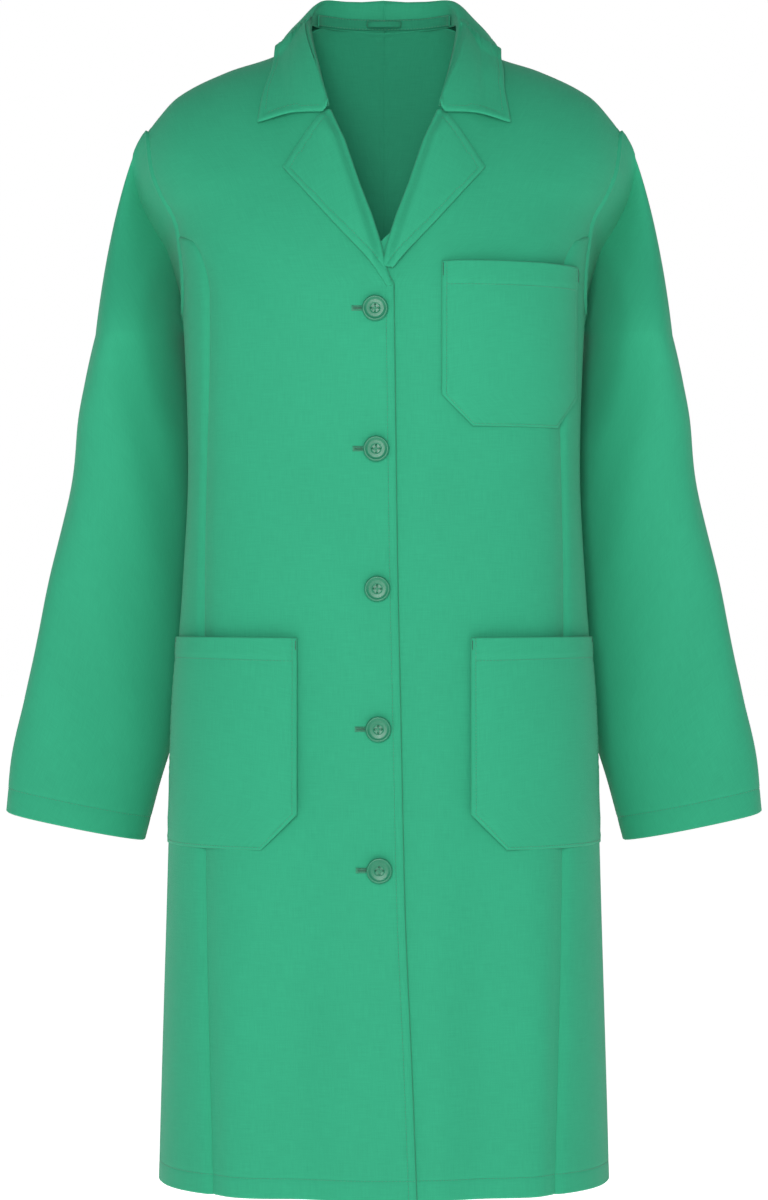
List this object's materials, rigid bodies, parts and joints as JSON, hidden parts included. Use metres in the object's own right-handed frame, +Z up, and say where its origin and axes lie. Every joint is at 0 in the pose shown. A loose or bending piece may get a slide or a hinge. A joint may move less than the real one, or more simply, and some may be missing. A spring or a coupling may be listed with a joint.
{
  "type": "lab coat",
  "caption": "Buttoned lab coat with notched lapels, long sleeves, princess seams, a chest patch pocket and two lower patch pockets.",
  "frame": {"origin": "middle of the hanger loop at the inside of the back neck, where the coat hangs from a hook", "axes": "+Z up from hem to collar, -Y out of the coat's front, +X to the wearer's left"},
  "size_m": [0.674, 0.2964, 1.0384],
  "materials": {
    "coat_cloth": "plain matte weave",
    "facing_cloth": "plain matte weave, seen in the shade of the coat",
    "neck_tape": "matte woven tape",
    "button_plastic": "satin gloss",
    "sewing_thread": "matte thread"
  },
  "bodies": {
    "coat_body": {"right_front": "coat_cloth", "left_front": "coat_cloth", "right_front_facing": "facing_cloth", "left_front_facing": "facing_cloth", "left_side_front": "coat_cloth", "right_side_front": "coat_cloth", "left_back": "coat_cloth", "right_back": "coat_cloth", "upper_collar": "coat_cloth", "under_collar": "coat_cloth", "neck_tape": "neck_tape", "hanger_loop": "neck_tape", "chest_pocket": "coat_cloth", "left_lower_pocket": "coat_cloth", "right_lower_pocket": "coat_cloth", "buttonhole_stitching_1": "sewing_thread", "buttonhole_stitching_2": "sewing_thread", "buttonhole_stitching_3": "sewing_thread", "buttonhole_stitching_4": "sewing_thread", "buttonhole_stitching_5": "sewing_thread"},
    "right_arm": {"right_sleeve": "coat_cloth"},
    "left_arm": {"left_sleeve": "coat_cloth"},
    "right_revers": {"right_lapel": "coat_cloth", "right_lapel_under": "coat_cloth"},
    "left_revers": {"left_lapel": "coat_cloth", "left_lapel_under": "coat_cloth"},
    "right_flap": {"right_front_skirt": "coat_cloth", "right_skirt_facing": "facing_cloth"},
    "left_flap": {"left_front_skirt": "coat_cloth", "left_skirt_facing": "facing_cloth"},
    "sewn_button_1": {"button_1": "button_plastic", "button_thread_1": "sewing_thread"},
    "sewn_button_2": {"button_2": "button_plastic", "button_thread_2": "sewing_thread"},
    "sewn_button_3": {"button_3": "button_plastic", "button_thread_3": "sewing_thread"},
    "sewn_button_4": {"button_4": "button_plastic", "button_thread_4": "sewing_thread"},
    "sewn_button_5": {"button_5": "button_plastic", "button_thread_5": "sewing_thread"}
  },
  "joints": [
    {"name": "right_sleeve_lift", "type": "hinge", "parent": "coat_body", "child": "right_arm", "pos_m": [-0.208, -0.03227, -0.1], "axis": [0, 1, 0], "range_deg": [0, 45]},
    {"name": "left_sleeve_lift", "type": "hinge", "parent": "coat_body", "child": "left_arm", "pos_m": [0.208, -0.03227, -0.1], "axis": [0, -1, 0], "range_deg": [0, 45]},
    {"name": "right_lapel_turn", "type": "hinge", "parent": "coat_body", "child": "right_revers", "pos_m": [-0.00411, -0.15978, -0.21029], "axis": [-0.3264, 0.263, 0.9079], "range_deg": [0, 60]},
    {"name": "left_lapel_turn", "type": "hinge", "parent": "coat_body", "child": "left_revers", "pos_m": [0.00411, -0.15978, -0.21029], "axis": [-0.3264, -0.263, -0.9079], "range_deg": [0, 60]},
    {"name": "right_flap_swing", "type": "hinge", "parent": "coat_body", "child": "right_flap", "pos_m": [-0.1539, -0.12976, -0.757], "axis": [0.0278, -0.071, -0.9971], "range_deg": [0, 40]},
    {"name": "left_flap_swing", "type": "hinge", "parent": "coat_body", "child": "left_flap", "pos_m": [0.1539, -0.12976, -0.757], "axis": [0.0278, 0.071, 0.9971], "range_deg": [0, 25]},
    {"name": "button_1_turn", "type": "hinge", "parent": "coat_body", "child": "sewn_button_1", "pos_m": [-0.0076, -0.16109, -0.2655], "axis": [0, -1, 0], "range_deg": [-25, 25], "stiffness_Nm_per_rad": 0.0005},
    {"name": "button_2_turn", "type": "hinge", "parent": "coat_body", "child": "sewn_button_2", "pos_m": [-0.00668, -0.15683, -0.384], "axis": [0, -1, 0], "range_deg": [-25, 25], "stiffness_Nm_per_rad": 0.0005},
    {"name": "button_3_turn", "type": "hinge", "parent": "coat_body", "child": "sewn_button_3", "pos_m": [-0.00575, -0.15948, -0.5025], "axis": [0, -1, 0], "range_deg": [-25, 25], "stiffness_Nm_per_rad": 0.0005},
    {"name": "button_4_turn", "type": "hinge", "parent": "coat_body", "child": "sewn_button_4", "pos_m": [-0.00483, -0.16592, -0.621], "axis": [0, -1, 0], "range_deg": [-25, 25], "stiffness_Nm_per_rad": 0.0005},
    {"name": "button_5_turn", "type": "hinge", "parent": "coat_body", "child": "sewn_button_5", "pos_m": [-0.0039, -0.17361, -0.7395], "axis": [0, -1, 0], "range_deg": [-25, 25], "stiffness_Nm_per_rad": 0.0005}
  ],
  "couplings": [
    {"joint": "left_flap_swing", "follows": "right_flap_swing", "ratio": 0.6}
  ]
}
